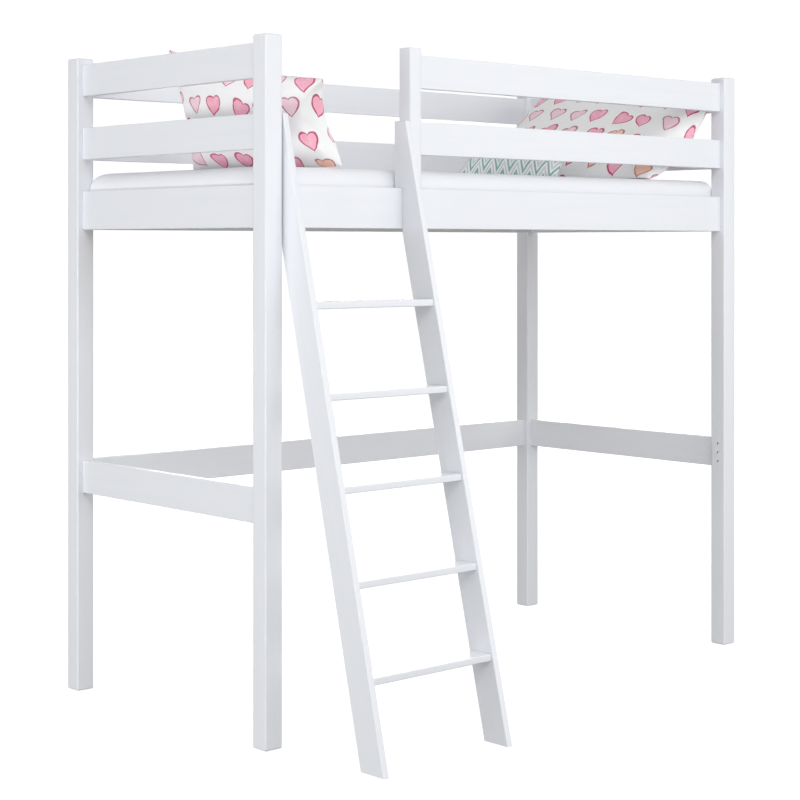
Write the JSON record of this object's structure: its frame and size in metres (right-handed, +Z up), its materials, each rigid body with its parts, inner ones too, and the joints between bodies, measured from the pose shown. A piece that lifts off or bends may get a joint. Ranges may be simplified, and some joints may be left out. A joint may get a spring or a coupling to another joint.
{
  "type": "loft bed with ladder",
  "caption": "High single loft bed in white painted wood with a sloping ladder at one end, guard planks all round, slatted base, mattress and loose cushions.",
  "frame": {"origin": "on the floor, under the middle of the whole bed's bounding box, ladder included", "axes": "+X along the bed's length, from the ladder end to the other end; +Y from the ladder side to the wall side; +Z up"},
  "size_m": [2.112, 1.4356, 2.0132],
  "materials": {
    "white_paint": "solid pine with an opaque satin white lacquer, faint grain, edges rounded and slightly polished",
    "pine_slats": "planed bare pine, matt, straight grain",
    "zinc_steel": "bright zinc-plated steel, satin",
    "mattress_ticking": "white knitted cotton ticking, matt, fine weave",
    "heart_print_cotton": "white plain-weave cotton printed with pink and peach hearts",
    "chevron_print_cotton": "white plain-weave cotton printed with teal and grey chevrons"
  },
  "bodies": {
    "frame": {"post_front_left": "white_paint", "post_back_left": "white_paint", "post_front_right": "white_paint", "post_back_right": "white_paint", "left_upper_guard": "white_paint", "left_lower_guard": "white_paint", "left_bed_rail": "white_paint", "left_stretcher": "white_paint", "right_upper_guard": "white_paint", "right_lower_guard": "white_paint", "right_bed_rail": "white_paint", "right_stretcher": "white_paint", "back_upper_guard": "white_paint", "back_lower_guard": "white_paint", "back_bed_rail": "white_paint", "back_stretcher": "white_paint", "front_upper_guard": "white_paint", "front_lower_guard": "white_paint", "front_bed_rail": "white_paint", "guard_post": "white_paint", "ladder_left_stringer": "white_paint", "ladder_right_stringer": "white_paint", "ladder_tread_1": "white_paint", "ladder_tread_2": "white_paint", "ladder_tread_3": "white_paint", "ladder_tread_4": "white_paint", "ladder_tread_5": "white_paint", "slat_ledger_front": "white_paint", "slat_ledger_back": "white_paint", "slat_01": "pine_slats", "slat_02": "pine_slats", "slat_03": "pine_slats", "slat_04": "pine_slats", "slat_05": "pine_slats", "slat_06": "pine_slats", "slat_07": "pine_slats", "slat_08": "pine_slats", "slat_09": "pine_slats", "slat_10": "pine_slats", "slat_11": "pine_slats", "slat_12": "pine_slats", "slat_13": "pine_slats", "guard_post_bolt": "zinc_steel", "guard_post_nut": "zinc_steel", "ladder_screw_left": "zinc_steel", "ladder_screw_right": "zinc_steel", "connector_bolt_front_left": "zinc_steel", "connector_bolt_front_right": "zinc_steel", "connector_bolt_back_left": "zinc_steel", "connector_bolt_back_right": "zinc_steel", "connector_cam_front_left": "zinc_steel", "connector_cam_front_right": "zinc_steel", "connector_cam_back_left": "zinc_steel", "connector_cam_back_right": "zinc_steel"},
    "mattress": {"mattress": "mattress_ticking"},
    "pillow_left": {"pillow_left": "heart_print_cotton"},
    "pillow_right": {"pillow_right": "heart_print_cotton"},
    "cushion_small": {"cushion_small": "chevron_print_cotton"}
  },
  "joints": [
    {"name": "mattress_lift", "type": "slide", "parent": "frame", "child": "mattress", "axis": [0, 0, 1], "range_m": [0, 0.52]},
    {"name": "pillow_left_lift", "type": "slide", "parent": "mattress", "child": "pillow_left", "axis": [0, 0, 1], "range_m": [0, 0.38]},
    {"name": "pillow_right_lift", "type": "slide", "parent": "mattress", "child": "pillow_right", "axis": [0, 0, 1], "range_m": [0, 0.38]},
    {"name": "cushion_small_lift", "type": "slide", "parent": "mattress", "child": "cushion_small", "axis": [0, 0, 1], "range_m": [0, 0.38]}
  ]
}
